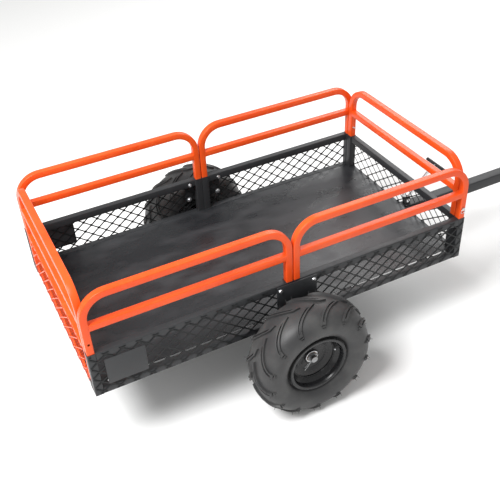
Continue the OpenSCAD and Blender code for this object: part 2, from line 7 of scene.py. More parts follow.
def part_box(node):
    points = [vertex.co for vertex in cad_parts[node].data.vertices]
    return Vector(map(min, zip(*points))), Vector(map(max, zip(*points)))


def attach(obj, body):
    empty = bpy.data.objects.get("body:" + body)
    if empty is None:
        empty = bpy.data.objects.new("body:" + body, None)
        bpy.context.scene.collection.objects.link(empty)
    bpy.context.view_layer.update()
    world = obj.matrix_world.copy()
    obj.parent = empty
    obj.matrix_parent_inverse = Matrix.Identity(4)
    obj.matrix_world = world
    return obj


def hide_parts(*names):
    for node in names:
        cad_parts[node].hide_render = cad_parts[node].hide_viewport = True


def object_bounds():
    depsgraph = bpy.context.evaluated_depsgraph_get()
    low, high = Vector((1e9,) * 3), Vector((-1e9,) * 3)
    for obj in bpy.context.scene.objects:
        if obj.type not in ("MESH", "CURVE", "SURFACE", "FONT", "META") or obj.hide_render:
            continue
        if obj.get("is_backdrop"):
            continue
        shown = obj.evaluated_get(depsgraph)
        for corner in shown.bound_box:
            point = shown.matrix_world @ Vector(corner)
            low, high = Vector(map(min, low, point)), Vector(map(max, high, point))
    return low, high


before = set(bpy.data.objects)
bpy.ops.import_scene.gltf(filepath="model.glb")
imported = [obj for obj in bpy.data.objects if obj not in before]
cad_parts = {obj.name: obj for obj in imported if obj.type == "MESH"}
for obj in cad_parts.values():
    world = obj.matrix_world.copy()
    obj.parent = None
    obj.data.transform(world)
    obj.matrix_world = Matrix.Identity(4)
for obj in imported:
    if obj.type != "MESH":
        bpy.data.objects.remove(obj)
cad_low, cad_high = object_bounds()

# ==== Drawbar =====================================================================
# The drawbar is one length of square steel tube with softly rounded corners, welded
# up and powder coated black. Its front end stays open between the hitch plates.


class Wire:
    """A shader value that can stand in a sum; each operation adds its Math node."""

    def __init__(self, tree, socket):
        self.tree = tree
        self.socket = socket

    def join(self, operation, first, second):
        node = self.tree.nodes.new("ShaderNodeMath")
        node.operation = operation
        for socket, value in zip(node.inputs, (first, second)):
            if isinstance(value, Wire):
                self.tree.links.new(value.socket, socket)
            else:
                socket.default_value = value
        return Wire(self.tree, node.outputs[0])

    def __add__(self, other):
        return self.join("ADD", self, other)

    __radd__ = __add__

    def __mul__(self, other):
        return self.join("MULTIPLY", self, other)


class Finish:
    """A material being built: its shader, and the nodes that feed it."""

    def __init__(self, name, metallic=0.0):
        self.material = bpy.data.materials.new(name)
        self.material.use_nodes = True
        self.tree = self.material.node_tree
        self.shader = self.tree.nodes["Principled BSDF"]
        self.shader.inputs["Metallic"].default_value = metallic
        self.shader.inputs["Specular IOR Level"].default_value = 0.5 if metallic else 0.32
        self.where = self.node("ShaderNodeTexCoord", output="Object")

    def feed(self, socket, value):
        if isinstance(value, Wire):
            self.tree.links.new(value.socket, socket)
        else:
            socket.default_value = value

    def node(self, kind, settings=None, inputs=None, output=0):
        node = self.tree.nodes.new(kind)
        for key, value in (settings or {}).items():
            setattr(node, key, value)
        for key, value in (inputs or {}).items():
            self.feed(node.inputs[key], value)
        return Wire(self.tree, node.outputs[output])

    def noise(self, scale, detail=3.0, stretch=(1, 1, 1)):
        spot = self.node("ShaderNodeMapping", inputs={"Vector": self.where, "Scale": stretch})
        return self.node("ShaderNodeTexNoise", inputs={"Vector": spot, "Scale": scale, "Detail": detail})

    def band(self, value, low, high):
        """0 below low, 1 above high, and a smooth ramp between."""
        return self.node("ShaderNodeMapRange", {"interpolation_type": "SMOOTHSTEP"},
                         {"Value": value, "From Min": low, "From Max": high})

    def mix(self, share, first, second):
        return self.node("ShaderNodeMix", {"data_type": "RGBA"}, {0: share, 6: first, 7: second}, 2)

    def bump(self, height, strength, distance):
        normal = self.node("ShaderNodeBump", inputs={
            "Height": height, "Strength": strength, "Distance": distance})
        self.feed(self.shader.inputs["Normal"], normal)

    def surface(self, colour, roughness):
        self.feed(self.shader.inputs["Base Color"], colour)
        self.feed(self.shader.inputs["Roughness"], roughness)
        return self.material


def powder_coat(name, colour, pale, roughness):
    """Powder coat: a fine orange-peel skin, cloudy gloss and a little dust that lies in patches."""
    coat = Finish(name)
    cloud = coat.noise(5.0, 4.0)
    dust = coat.band(coat.noise(38.0, 6.0), 0.5, 0.78)
    peel = coat.noise(650.0, 2.0)
    grit = coat.band(coat.noise(1900.0, 1.0), 0.66, 0.74)
    coat.bump(peel + grit * 0.4, 0.12, 0.0006)
    tint = coat.mix(coat.band(cloud, 0.3, 0.7) * 0.3 + dust * 0.22, (*colour, 1), (*pale, 1))
    return coat.surface(tint, roughness + cloud * 0.12 + dust * 0.1)


CORNER_STEPS = 3
BEND_STEPS = 14
HEAVY_CORNER = 0.0045
HEAVY_WALL = 0.003


def rounded_ring(bm, width, depth, corner):
    """The edges of a rounded rectangle in the XY plane, centred on the Z axis."""
    verts = bmesh.ops.create_grid(bm, x_segments=1, y_segments=1, size=0.5)["verts"]
    bmesh.ops.scale(bm, vec=(width, depth, 1), verts=verts)
    rounded = bmesh.ops.bevel(bm, geom=verts, offset=corner, offset_type="OFFSET", affect="VERTICES",
                              segments=CORNER_STEPS, profile=0.5, material=-1)
    face = rounded["verts"][0].link_faces[0]
    ring = list(face.edges)
    bmesh.ops.delete(bm, geom=[face], context="FACES_ONLY")
    return ring


def draw_along(bm, ring, moves):
    """Draws a ring along straight runs, given as vectors, and bends, given as (centre, axis, angle)."""
    for move in moves:
        if isinstance(move, Vector):
            made = bmesh.ops.extrude_edge_only(bm, edges=ring)["geom"]
            fresh = {v for v in made if isinstance(v, bmesh.types.BMVert)}
            bmesh.ops.translate(bm, vec=move, verts=list(fresh))
        else:
            centre, axis, angle = move
            made = bmesh.ops.spin(bm, geom=ring, cent=centre, axis=axis, angle=angle,
                                  steps=BEND_STEPS, use_merge=False, use_duplicate=False)["geom_last"]
            fresh = {v for v in made if isinstance(v, bmesh.types.BMVert)}
        ring = [e for e in made if isinstance(e, bmesh.types.BMEdge) and fresh.issuperset(e.verts)]
    return ring


def close_end(bm, outer, inner):
    """Joins the outer skin's cut edge to the inner skin's, face by face."""
    inside = {v for e in inner for v in e.verts}
    for edge in outer:
        first, last = edge.verts
        near = [min(inside, key=lambda v: (v.co - corner.co).length_squared) for corner in (last, first)]
        bm.faces.new((first, last, *near))


def hollow_tube(bm, width, depth, corner, wall, moves, where):
    """A rectangular tube with its wall and both cut ends, drawn from the origin up and then placed."""
    old = set(bm.verts)
    ends = []
    for inset in (0.0, wall):
        ring = rounded_ring(bm, width - 2 * inset, depth - 2 * inset, max(corner - inset, corner * 0.4))
        ends.append((ring, draw_along(bm, ring, moves)))
    for outer, inner in zip(*ends):
        close_end(bm, outer, inner)
    bmesh.ops.transform(bm, matrix=where, verts=[v for v in bm.verts if v not in old])


def straight_tube(bm, start, end, width, depth, corner, wall):
    """A straight tube between two points; width lies level, and depth is the other way."""
    run = Vector(end) - Vector(start)
    turn = run.to_track_quat("Z", "X") if abs(run.normalized().z) > 0.99 else run.to_track_quat("Z", "Y")
    where = Matrix.Translation(start) @ turn.to_matrix().to_4x4()
    hollow_tube(bm, width, depth, corner, wall, [Vector((0, 0, run.length))], where)


def finished_piece(name, bm, material, smooth_below=32):
    """Turns a bmesh into an object whose place is in its mesh, with its normals outward."""
    bmesh.ops.recalc_face_normals(bm, faces=bm.faces)
    mesh = bpy.data.meshes.new(name)
    bm.to_mesh(mesh)
    bm.free()
    mesh.polygons.foreach_set("use_smooth", [True] * len(mesh.polygons))
    mesh.set_sharp_from_angle(angle=math.radians(smooth_below))
    mesh.materials.append(material)
    made = bpy.data.objects.new(name, mesh)
    bpy.context.scene.collection.objects.link(made)
    return made


def repaint(node, material):
    """Gives a CAD node its finish."""
    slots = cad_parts[node].data.materials
    slots.clear()
    slots.append(material)


black_coat = powder_coat("black_powder_coat", (0.023, 0.024, 0.026), (0.042, 0.043, 0.046), 0.36)

bar_low, bar_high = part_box("tongue_tube")
bar_side = bar_high.y - bar_low.y
bar_middle_z = (bar_low.z + bar_high.z) / 2

bm = bmesh.new()
straight_tube(bm, (bar_low.x, 0, bar_middle_z), (bar_high.x, 0, bar_middle_z),
              bar_side, bar_side, HEAVY_CORNER, HEAVY_WALL)
drawbar = finished_piece("drawbar", bm, black_coat)
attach(drawbar, "chassis")
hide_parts("tongue_tube")

# ==== Axle and the frame under the bed ============================================
# The axle beam is heavier square tube, bolted under the drawbar through a saddle plate.
# Two braces run from it to the drawbar, and plate brackets behind it hold the tilt hinge.

beam_low, beam_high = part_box("axle_beam")
beam_side = beam_high.z - beam_low.z
beam_middle_x = (beam_low.x + beam_high.x) / 2
axle_z = (beam_low.z + beam_high.z) / 2

bm = bmesh.new()
straight_tube(bm, (beam_middle_x, beam_low.y, axle_z), (beam_middle_x, beam_high.y, axle_z),
              beam_side, beam_side, HEAVY_CORNER, HEAVY_WALL)
axle = finished_piece("axle_tube", bm, black_coat)
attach(axle, "chassis")
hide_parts("axle_beam")

for plate in ("axle_saddle", "drawbar_braces", "hinge_brackets", "hitch_plates", "latch_bracket"):
    repaint(plate, black_coat)

# ==== Zinc-plated hardware ========================================================
# Bolts, nuts, pins and washers are bright zinc over steel, a little streaked by handling.
# The spindles, their washers and the axle's bolts are duller than the rest.


def zinc_plate(name, shade, roughness):
    """Zinc plate over steel, with fine level streaks and warmer stains."""
    zinc = Finish(name, metallic=1.0)
    streak = zinc.noise(60.0, 5.0, (1, 1, 5))
    stain = zinc.band(zinc.noise(25.0, 4.0), 0.48, 0.72)
    zinc.bump(streak, 0.08, 0.0004)
    clean = (shade, shade * 1.01, shade * 1.03, 1)
    stained = (shade * 0.72, shade * 0.71, shade * 0.68, 1)
    tint = zinc.mix(stain * 0.5, clean, stained)
    return zinc.surface(tint, roughness + streak * 0.16)


bright_zinc = zinc_plate("bright_zinc", 0.62, 0.24)
dull_zinc = zinc_plate("dull_zinc", 0.3, 0.34)
for node in ("hinge_pins", "hitch_bolts", "latch_pivot"):
    repaint(node, bright_zinc)
for node in ("axle_bolts", "axle_spindles", "spindle_washers"):
    repaint(node, dull_zinc)

# ==== Floor sheet =================================================================
# The floor is one flat sheet of steel laid on the bed's tubes, coated black. Large flat
# sheet is never quite level, so its gloss wanders.

floor_coat = Finish("floor_powder_coat")
sag = floor_coat.noise(3.0, 2.0)
peel = floor_coat.noise(520.0, 2.0)
smear = floor_coat.band(floor_coat.noise(7.0, 5.0, (1.0, 2.2, 1.0)), 0.42, 0.72)
floor_coat.bump(sag * 14.0 + peel * 0.25, 0.25, 0.0012)
sheet_tint = floor_coat.mix(smear, (0.018, 0.019, 0.021, 1), (0.034, 0.035, 0.038, 1))
repaint("floor_sheet", floor_coat.surface(sheet_tint, 0.27 + smear * 0.16))

# ==== Bed frames ==================================================================
# Each side is two welded frames: a deep rim tube, a bottom tube and a square socket at
# each end, open at the top to take a rail's post. The front has one such frame.

TUBE = 0.025
RIM_DEPTH = 0.030
TUBE_CORNER = 0.0026
TUBE_WALL = 0.0015
SOCKET = 0.029
SOCKET_BORE = 0.026
SOCKET_CORNER = 0.0024
FOOT_PLATE = 0.003
SILL_SET_BACK = 0.0025


def post_socket(bm, x, y, foot, top):
    """A square socket that stands at x, y, with its foot plate inside."""
    straight_tube(bm, (x, y, foot), (x, y, top), SOCKET, SOCKET, SOCKET_CORNER, (SOCKET - SOCKET_BORE) / 2)
    plate = bmesh.ops.create_cube(bm, size=1.0)["verts"]
    bmesh.ops.scale(bm, vec=(SOCKET_BORE, SOCKET_BORE, FOOT_PLATE), verts=plate)
    bmesh.ops.translate(bm, vec=(x, y, foot + FOOT_PLATE / 2), verts=plate)


def weld_bead(bm, start, end, size=0.0032):
    """A row of overlapping weld puddles along a seam."""
    run = Vector(end) - Vector(start)
    puddles = max(2, round(run.length / (size * 0.9)))
    for step in range(puddles):
        drop = bmesh.ops.create_icosphere(bm, subdivisions=1, radius=size)["verts"]
        bmesh.ops.translate(bm, vec=Vector(start) + run * ((step + 0.5) / puddles), verts=drop)


for fore in ("front", "rear"):
    for side in ("left", "right"):
        low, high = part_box(f"{side}_{fore}_frame")
        out_y = high.y - TUBE / 2 if side == "left" else low.y + TUBE / 2
        socket_y = (low.y + high.y) / 2
        bm = bmesh.new()
        for x in (low.x + SOCKET / 2, high.x - SOCKET / 2):
            post_socket(bm, x, socket_y, low.z, high.z)
        for z, depth in ((high.z - RIM_DEPTH / 2, RIM_DEPTH), (low.z + TUBE / 2, TUBE)):
            straight_tube(bm, (low.x + SOCKET, out_y, z), (high.x - SOCKET, out_y, z),
                          TUBE, depth, TUBE_CORNER, TUBE_WALL)
        inner_y = out_y - math.copysign(TUBE / 2, out_y)
        for x in (low.x + SOCKET, high.x - SOCKET):
            weld_bead(bm, (x, inner_y, high.z - RIM_DEPTH), (x, inner_y, high.z))
        made = finished_piece(f"{side}_{fore}_side_frame", bm, black_coat)
        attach(made, "bed")
        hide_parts(f"{side}_{fore}_frame")

low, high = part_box("front_frame")
bm = bmesh.new()
front_socket_x = (low.x + high.x) / 2
for y in (low.y + SOCKET / 2, high.y - SOCKET / 2):
    post_socket(bm, front_socket_x, y, low.z, high.z)
for z, depth in ((high.z - RIM_DEPTH / 2, RIM_DEPTH), (low.z + TUBE / 2, TUBE)):
    straight_tube(bm, (high.x - TUBE / 2, low.y + SOCKET, z), (high.x - TUBE / 2, high.y - SOCKET, z),
                  TUBE, depth, TUBE_CORNER, TUBE_WALL)
made = finished_piece("front_end_frame", bm, black_coat)
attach(made, "bed")
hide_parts("front_frame")

# The rear sill closes the frame at the foot, with two short sockets for the tailgate.
low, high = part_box("rear_sill")
bm = bmesh.new()
for y in (low.y + SOCKET / 2, high.y - SOCKET / 2):
    post_socket(bm, (low.x + high.x) / 2, y, low.z, high.z)
sill_x = low.x + SILL_SET_BACK + TUBE / 2
sill_z = low.z + TUBE / 2
straight_tube(bm, (sill_x, low.y + SOCKET, sill_z), (sill_x, high.y - SOCKET, sill_z),
              TUBE, TUBE, TUBE_CORNER, TUBE_WALL)
made = finished_piece("rear_end_sill", bm, black_coat)
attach(made, "bed")
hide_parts("rear_sill")

for node in ("cross_members", "pivot_ears", "striker_tab"):
    repaint(node, black_coat)

# ==== Expanded-metal sides ========================================================
# The sides are raised expanded metal: rows of wavy strands slit from one sheet and pulled
# apart, each joined to the next at its crests. The sheets are cut to size and welded on.

DIAMOND_LENGTH = 0.0575
DIAMOND_HEIGHT = 0.045
STRAND_DEPTH = 0.0054
STRAND_FRONT = 0.0009
STRAND_BACK = 0.0010
STRAND_LEAN = 0.0005
SHEET_DEPTH = 0.0030
BOND_LENGTH = 0.006


def strand(bm, start_x, columns, z):
    """One wavy strand: a leaning strip that climbs and falls between its bonds."""
    corners = ((-STRAND_BACK - STRAND_LEAN, -0.5), (STRAND_FRONT - STRAND_LEAN, -0.5),
               (STRAND_BACK + STRAND_LEAN, 0.5), (-STRAND_FRONT + STRAND_LEAN, 0.5))
    climb = DIAMOND_HEIGHT / 2 - STRAND_DEPTH * 0.86
    verts = [bm.verts.new((start_x, y, z - climb / 2 + share * STRAND_DEPTH)) for y, share in corners]
    ring = [bm.edges.new((verts[i], verts[(i + 1) % 4])) for i in range(4)]
    slope = DIAMOND_LENGTH / 2 - BOND_LENGTH
    wave = [Vector((BOND_LENGTH, 0, 0)), Vector((slope, 0, climb)),
            Vector((BOND_LENGTH, 0, 0)), Vector((slope, 0, -climb))]
    draw_along(bm, ring, wave * columns)


def expanded_sheet(length, height):
    """A sheet of mesh in the XZ plane, centred, cut to size on all four sides."""
    bm = bmesh.new()
    columns = math.ceil(length / DIAMOND_LENGTH) + 2
    rows = math.ceil(height / DIAMOND_HEIGHT) + 1
    for row in range(-rows, rows + 1):
        shift = (row % 2) * DIAMOND_LENGTH / 2
        strand(bm, shift - columns * DIAMOND_LENGTH / 2 - BOND_LENGTH / 2, columns, row * DIAMOND_HEIGHT / 2)
    for axis, reach in ((Vector((1, 0, 0)), length / 2), (Vector((0, 0, 1)), height / 2)):
        for way in (axis, -axis):
            cut = bmesh.ops.bisect_plane(bm, geom=bm.verts[:] + bm.edges[:] + bm.faces[:],
                                         plane_co=way * reach, plane_no=way, clear_outer=True)["geom_cut"]
            rims = [e for e in cut if isinstance(e, bmesh.types.BMEdge)]
            bmesh.ops.holes_fill(bm, edges=rims, sides=0)
    return bm


def mesh_panel(name, node, body, material):
    """Fits a sheet of expanded metal into the place of a CAD panel."""
    low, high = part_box(node)
    size = high - low
    along_x = size.x > size.y
    bm = expanded_sheet(max(size.x, size.y), size.z)
    turn = Matrix() if along_x else Matrix.Rotation(math.radians(90), 4, "Z")
    thin = Matrix.Scale(min(size.x, size.y) / SHEET_DEPTH, 4, (0, 1, 0))
    bmesh.ops.transform(bm, matrix=Matrix.Translation((low + high) / 2) @ turn @ thin, verts=bm.verts)
    made = finished_piece(name, bm, material, 20)
    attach(made, body)
    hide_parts(node)


mesh_coat = powder_coat("mesh_powder_coat", (0.006, 0.0065, 0.007), (0.016, 0.017, 0.018), 0.3)
for side in ("left", "right"):
    for fore in ("front", "rear"):
        mesh_panel(f"{side}_{fore}_expanded_sheet", f"{side}_{fore}_mesh", "bed", mesh_coat)
mesh_panel("front_expanded_sheet", "front_mesh", "bed", mesh_coat)

# ==== Joining plates, their bolts and the blank name plates =======================
# A thick flat plate outside each side's middle joins the two side frames. M8 hexagon
# bolts hold it: two through the rim, two that clamp the mesh.

plate_coat = powder_coat("plate_powder_coat", (0.02, 0.021, 0.023), (0.04, 0.041, 0.044), 0.36)
name_coat = powder_coat("name_plate_coat", (0.03, 0.031, 0.033), (0.05, 0.051, 0.054), 0.4)


def flat_plate(bm, low, high, corner, edge):
    """A flat plate between two corners, thin along Y, with rounded corners and broken edges."""
    size = high - low
    ring = rounded_ring(bm, size.x, size.z, corner)
    verts = list({v for e in ring for v in e.verts})
    face = bmesh.ops.contextual_create(bm, geom=ring)["faces"]
    made = bmesh.ops.extrude_face_region(bm, geom=face)["geom"]
    top = [v for v in made if isinstance(v, bmesh.types.BMVert)]
    bmesh.ops.translate(bm, vec=(0, 0, size.y), verts=top)
    rims = [e for f in made if isinstance(f, bmesh.types.BMFace) for e in f.edges] + ring
    bmesh.ops.bevel(bm, geom=rims, offset=edge, offset_type="OFFSET", affect="EDGES", segments=2,
                    profile=0.5, material=-1)
    lift = Matrix.Translation(((low.x + high.x) / 2, high.y, (low.z + high.z) / 2))
    bmesh.ops.transform(bm, matrix=lift @ Matrix.Rotation(math.radians(90), 4, "X"), verts=bm.verts)


CENTRE_PLATE_THICK = 0.004
NAME_PLATE_THICK = 0.002
plates = (("centre_plates", CENTRE_PLATE_THICK, 0.003, 0.0006, plate_coat, "frame_black"),
          ("name_plates", NAME_PLATE_THICK, 0.004, 0.0004, name_coat, "plate_grey"))
for side, way in (("left", 1), ("right", -1)):
    for node, thick, corner, edge, material, slot in plates:
        low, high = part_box(node)
        inner = high.y - thick
        near = Vector((low.x, inner if way > 0 else -high.y, low.z))
        far = Vector((high.x, high.y if way > 0 else -inner, high.z))
        bm = bmesh.new()
        flat_plate(bm, near, far, corner, edge)
        made = finished_piece(f"{side}_{node[:-1]}", bm, material)
        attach(made, "bed")
        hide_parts(node)


def hex_head(bm, width, depth, where):
    """A hexagon with a turned chamfer on its free face, flat face at the origin."""
    old = set(bm.verts)
    reach = width / 2 / math.cos(math.pi / 6)
    blank = bmesh.ops.create_cone(bm, cap_ends=True, segments=6, radius1=reach, radius2=reach,
                                  depth=depth)["verts"]
    bmesh.ops.translate(bm, vec=(0, 0, depth / 2), verts=blank)
    top = [e for e in {e for v in blank for e in v.link_edges} if all(v.co.z > depth * 0.9 for v in e.verts)]
    bmesh.ops.bevel(bm, geom=top, offset=depth * 0.22, offset_type="OFFSET", affect="EDGES", segments=2,
                    profile=0.5, material=-1)
    bmesh.ops.transform(bm, matrix=where, verts=[v for v in bm.verts if v not in old])


def disc(bm, radius, depth, where, segments=24, edge=0.0004):
    """A round washer or collar with a broken edge, flat face at the origin."""
    old = set(bm.verts)
    blank = bmesh.ops.create_cone(bm, cap_ends=True, segments=segments, radius1=radius, radius2=radius,
                                  depth=depth)["verts"]
    bmesh.ops.translate(bm, vec=(0, 0, depth / 2), verts=blank)
    rims = [e for e in {e for v in blank for e in v.link_edges}
            if abs(e.verts[0].co.z - e.verts[1].co.z) < 1e-6]
    bmesh.ops.bevel(bm, geom=rims, offset=edge, offset_type="OFFSET", affect="EDGES", segments=2,
                    profile=0.5, material=-1)
    bmesh.ops.transform(bm, matrix=where, verts=[v for v in bm.verts if v not in old])


BOLT_ACROSS = 0.0132
BOLT_HEAD = 0.0048
NUT_DEPTH = 0.0064
BOLT_RADIUS = 0.004
WASHER_RADIUS = 0.0085
WIDE_WASHER_RADIUS = 0.012
bolt_low, bolt_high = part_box("centre_bolts")
plate_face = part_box("centre_plates")[1].y
bolt_reach = BOLT_ACROSS / 2 / math.cos(math.pi / 6)
bm = bmesh.new()
for way in (1, -1):
    outward = Matrix.Rotation(math.radians(-90 * way), 4, "X")
    inward = Matrix.Rotation(math.radians(90 * way), 4, "X")
    for x in (bolt_low.x + 0.0125, bolt_high.x - 0.0125):
        for z, back, washer in ((bolt_high.z - bolt_reach, 0.028, WASHER_RADIUS),
                                (bolt_low.z + WIDE_WASHER_RADIUS, 0.005, WIDE_WASHER_RADIUS)):
            face = Vector((x, way * plate_face, z))
            nut = Vector((x, way * (plate_face - CENTRE_PLATE_THICK - back), z))
            on_washer = Matrix.Translation(face + Vector((0, way * 0.0004, 0)))
            behind = Matrix.Translation(nut - Vector((0, way * 0.0011, 0)))
            disc(bm, WASHER_RADIUS, 0.0008, Matrix.Translation(face) @ outward)
            hex_head(bm, BOLT_ACROSS, BOLT_HEAD, on_washer @ outward)
            disc(bm, washer, 0.0012, Matrix.Translation(nut) @ inward)
            hex_head(bm, BOLT_ACROSS, NUT_DEPTH, behind @ inward)
            disc(bm, BOLT_RADIUS, NUT_DEPTH + 0.003, Matrix.Translation(nut) @ inward, 16)
made = finished_piece("plate_bolts", bm, bright_zinc, 25)
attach(made, "bed")
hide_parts("centre_bolts")

# ==== Rails =======================================================================
# Each rail is one square tube bent twice into a hoop, with a straight tube welded across.
# They are coated orange. The posts are drilled near the foot for quick pins.

orange_coat = powder_coat("orange_powder_coat", (0.78, 0.07, 0.007), (0.9, 0.14, 0.025), 0.26)
BEND_RADIUS = 0.085
COLLAR_RADIUS = 0.007
pin_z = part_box("left_quick_pin")[1].z - COLLAR_RADIUS
PIN_HOLE_RADIUS = 0.0043


def drill(made, spots, axis):
    """Drills round holes through a piece, right through both walls of a tube."""
    bm = bmesh.new()
    for spot in spots:
        bmesh.ops.create_cone(bm, cap_ends=True, segments=24, radius1=PIN_HOLE_RADIUS,
                              radius2=PIN_HOLE_RADIUS, depth=TUBE * 2,
                              matrix=Matrix.Translation(spot) @ axis)
    mesh = bpy.data.meshes.new("drill")
    bm.to_mesh(mesh)
    bm.free()
    bit = bpy.data.objects.new("drill", mesh)
    bpy.context.scene.collection.objects.link(bit)
    cut = made.modifiers.new("drill", "BOOLEAN")
    cut.object = bit
    cut.solver = "MANIFOLD"
    made.data = bpy.data.meshes.new_from_object(made.evaluated_get(bpy.context.evaluated_depsgraph_get()))
    made.modifiers.clear()
    bpy.data.objects.remove(bit)


def rail(name, hoop_node, bar_node, bars, body, holes):
    """A bent hoop and its cross tubes, each in the place of its CAD node."""
    low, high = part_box(hoop_node)
    size = high - low
    span = max(size.x, size.y) - TUBE
    run = size.z - TUBE / 2 - BEND_RADIUS
    middle = (low + high) / 2
    turn = Matrix() if size.x > size.y else Matrix.Rotation(math.radians(90), 4, "Z")
    place = Matrix.Translation((middle.x, middle.y, low.z)) @ turn @ Matrix.Translation((-span / 2, 0, 0))
    across, quarter = Vector((0, 1, 0)), math.radians(90)
    moves = [Vector((0, 0, run)), (Vector((BEND_RADIUS, 0, run)), across, quarter),
             Vector((span - 2 * BEND_RADIUS, 0, 0)),
             (Vector((span - BEND_RADIUS, 0, run)), across, quarter), Vector((0, 0, -run))]
    bm = bmesh.new()
    hollow_tube(bm, TUBE, TUBE, TUBE_CORNER, TUBE_WALL, moves, place)
    hoop = finished_piece(f"{name}_hoop", bm, orange_coat)
    drill(hoop, holes, Matrix.Rotation(quarter, 4, "X"))
    bm = bmesh.new()
    for z in bars:
        ends = [place @ Vector((x, 0, z - low.z)) for x in (TUBE / 2 - 0.001, span - TUBE / 2 + 0.001)]
        straight_tube(bm, *ends, TUBE * 0.996, TUBE, TUBE_CORNER, TUBE_WALL)
        for end in ends:
            for rise in (-TUBE / 2, TUBE / 2):
                seam = end + Vector((0, 0, rise * 0.98))
                half = (turn @ across) * TUBE * 0.46
                weld_bead(bm, seam - half, seam + half, 0.0024)
    cross = finished_piece(f"{name}_cross_tubes", bm, orange_coat)
    for piece, node in ((hoop, hoop_node), (cross, bar_node)):
        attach(piece, body)
        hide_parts(node)


for side in ("left", "right"):
    for fore in ("front", "rear"):
        name = f"{side}_{fore}"
        hoop_low, hoop_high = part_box(f"{name}_hoop")
        bar_low, bar_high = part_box(f"{name}_bar")
        end_x = hoop_high.x - TUBE / 2 if fore == "front" else hoop_low.x + TUBE / 2
        rail(name, f"{name}_hoop", f"{name}_bar", [(bar_low.z + bar_high.z) / 2], f"{name}_rail",
             [Vector((end_x, (hoop_low.y + hoop_high.y) / 2, pin_z))])

hoop_low, hoop_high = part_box("front_hoop")
bar_low, bar_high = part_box("front_bar")
end_x = (hoop_low.x + hoop_high.x) / 2
post_y = hoop_high.y - TUBE / 2
rail("front", "front_hoop", "front_bar", [(bar_low.z + bar_high.z) / 2], "front_rail",
     [Vector((end_x, y, pin_z)) for y in (-post_y, post_y)])

# The tailgate is a hoop like the others with two cross tubes, a flat strip below them and
# expanded metal laid on the outside, all coated orange.
hoop_low, hoop_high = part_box("tailgate_hoop")
bar_low, bar_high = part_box("tailgate_bars")
rim_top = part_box("left_rear_frame")[1].z
end_x = (hoop_low.x + hoop_high.x) / 2
rail("tailgate", "tailgate_hoop", "tailgate_bars", [bar_high.z - TUBE / 2, rim_top - TUBE / 2],
     "tailgate", [Vector((end_x, y, pin_z)) for y in (-post_y, post_y)])
mesh_panel("tailgate_expanded_sheet", "tailgate_mesh", "tailgate", orange_coat)
STRIP_WIDTH = 0.020
STRIP_HALF = 0.002
bm = bmesh.new()
flat_plate(bm, Vector((-bar_high.y, -STRIP_HALF, bar_low.z)),
           Vector((bar_high.y, STRIP_HALF, bar_low.z + STRIP_WIDTH)), 0.0008, 0.0006)
flat = Matrix.Translation((hoop_low.x + STRIP_HALF, 0, 0)) @ Matrix.Rotation(math.radians(90), 4, "Z")
bmesh.ops.transform(bm, matrix=flat, verts=bm.verts)
strip = finished_piece("tailgate_strip", bm, orange_coat)
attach(strip, "tailgate")
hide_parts("tailgate_bars")

# ==== Tyres =======================================================================
# Low-pressure tyres of black rubber. Curved lugs with a groove along them sweep from the
# crown to the shoulders, staggered left and right, with moulding hairs at the shoulders.


class Carcass:
    """The tyre's outer skin from the crown's middle to the rim, measured along its curve."""

    def __init__(self, crown_radius, middle_radius, half_width, rim_radius):
        self.points = [Vector((crown_radius, 0))]
        for turn in range(89, -64, -1):
            rise, reach = math.sin(math.radians(turn)), math.cos(math.radians(turn))
            height = crown_radius - middle_radius if rise > 0 else (middle_radius - rim_radius) * 1.1
            self.points.append(Vector((middle_radius + math.copysign(abs(rise) ** 0.84, rise) * height,
                                       half_width * reach ** 0.84)))
        self.runs = [0.0]
        for one, other in zip(self.points, self.points[1:]):
            self.runs.append(self.runs[-1] + (other - one).length)

    def at(self, run):
        """The point a run along the skin, and the direction outward from it."""
        index = next((i for i in range(1, len(self.runs) - 1) if self.runs[i] > run), len(self.runs) - 1)
        one, other = self.points[index - 1], self.points[index]
        share = (run - self.runs[index - 1]) / (self.runs[index] - self.runs[index - 1])
        along = (other - one).normalized()
        return one.lerp(other, share), Vector((along.y, -along.x))


def turned(bm, outline, steps, rounding=0.0):
    """A closed outline of (radius, height) points, turned all the way round the Z axis."""
    face = bm.faces.new([bm.verts.new((radius, 0, height)) for radius, height in outline])
    if rounding:
        corners = bmesh.ops.bevel(bm, geom=list(face.verts), offset=rounding, offset_type="OFFSET",
                                  affect="VERTICES", segments=2, profile=0.5, material=-1)
        face = corners["verts"][0].link_faces[0]
    edges = list(face.edges)
    bmesh.ops.delete(bm, geom=[face], context="FACES_ONLY")
    bmesh.ops.spin(bm, geom=edges, cent=(0, 0, 0), axis=(0, 0, 1), angle=math.radians(360), steps=steps,
                   use_merge=True)


def wheel_place(node, side):
    """From a wheel's own frame, with its axis along Z and outward up, to its place on the cart."""
    low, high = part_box(node)
    middle = (low + high) / 2
    lay = Matrix.Rotation(math.radians(-90), 4, "X")
    left = Matrix.Translation((middle.x, abs(middle.y), middle.z)) @ lay
    return left if side == "left" else Matrix.Scale(-1, 4, (0, 1, 0)) @ left


tyre_low, tyre_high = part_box("left_tyre")
rim_low, rim_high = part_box("left_rim")
TYRE_RADIUS = (tyre_high.z - tyre_low.z) / 2
HALF_WIDTH = (tyre_high.y - tyre_low.y) / 2
FLANGE_RADIUS = (rim_high.z - rim_low.z) / 2
SEAT_RADIUS = FLANGE_RADIUS - 0.011
RIM_HALF = (rim_high.y - rim_low.y) / 2
LUG_HEIGHT = 0.0085
LUG_WIDTH = 0.022
LUG_START = 0.003
LUG_END = 0.088
LUG_COUNT = 14
LUG_SWEEP = 0.098
LUG_TURN = math.radians(272)
carcass = Carcass(TYRE_RADIUS - LUG_HEIGHT, 0.168, HALF_WIDTH - 0.006, FLANGE_RADIUS)


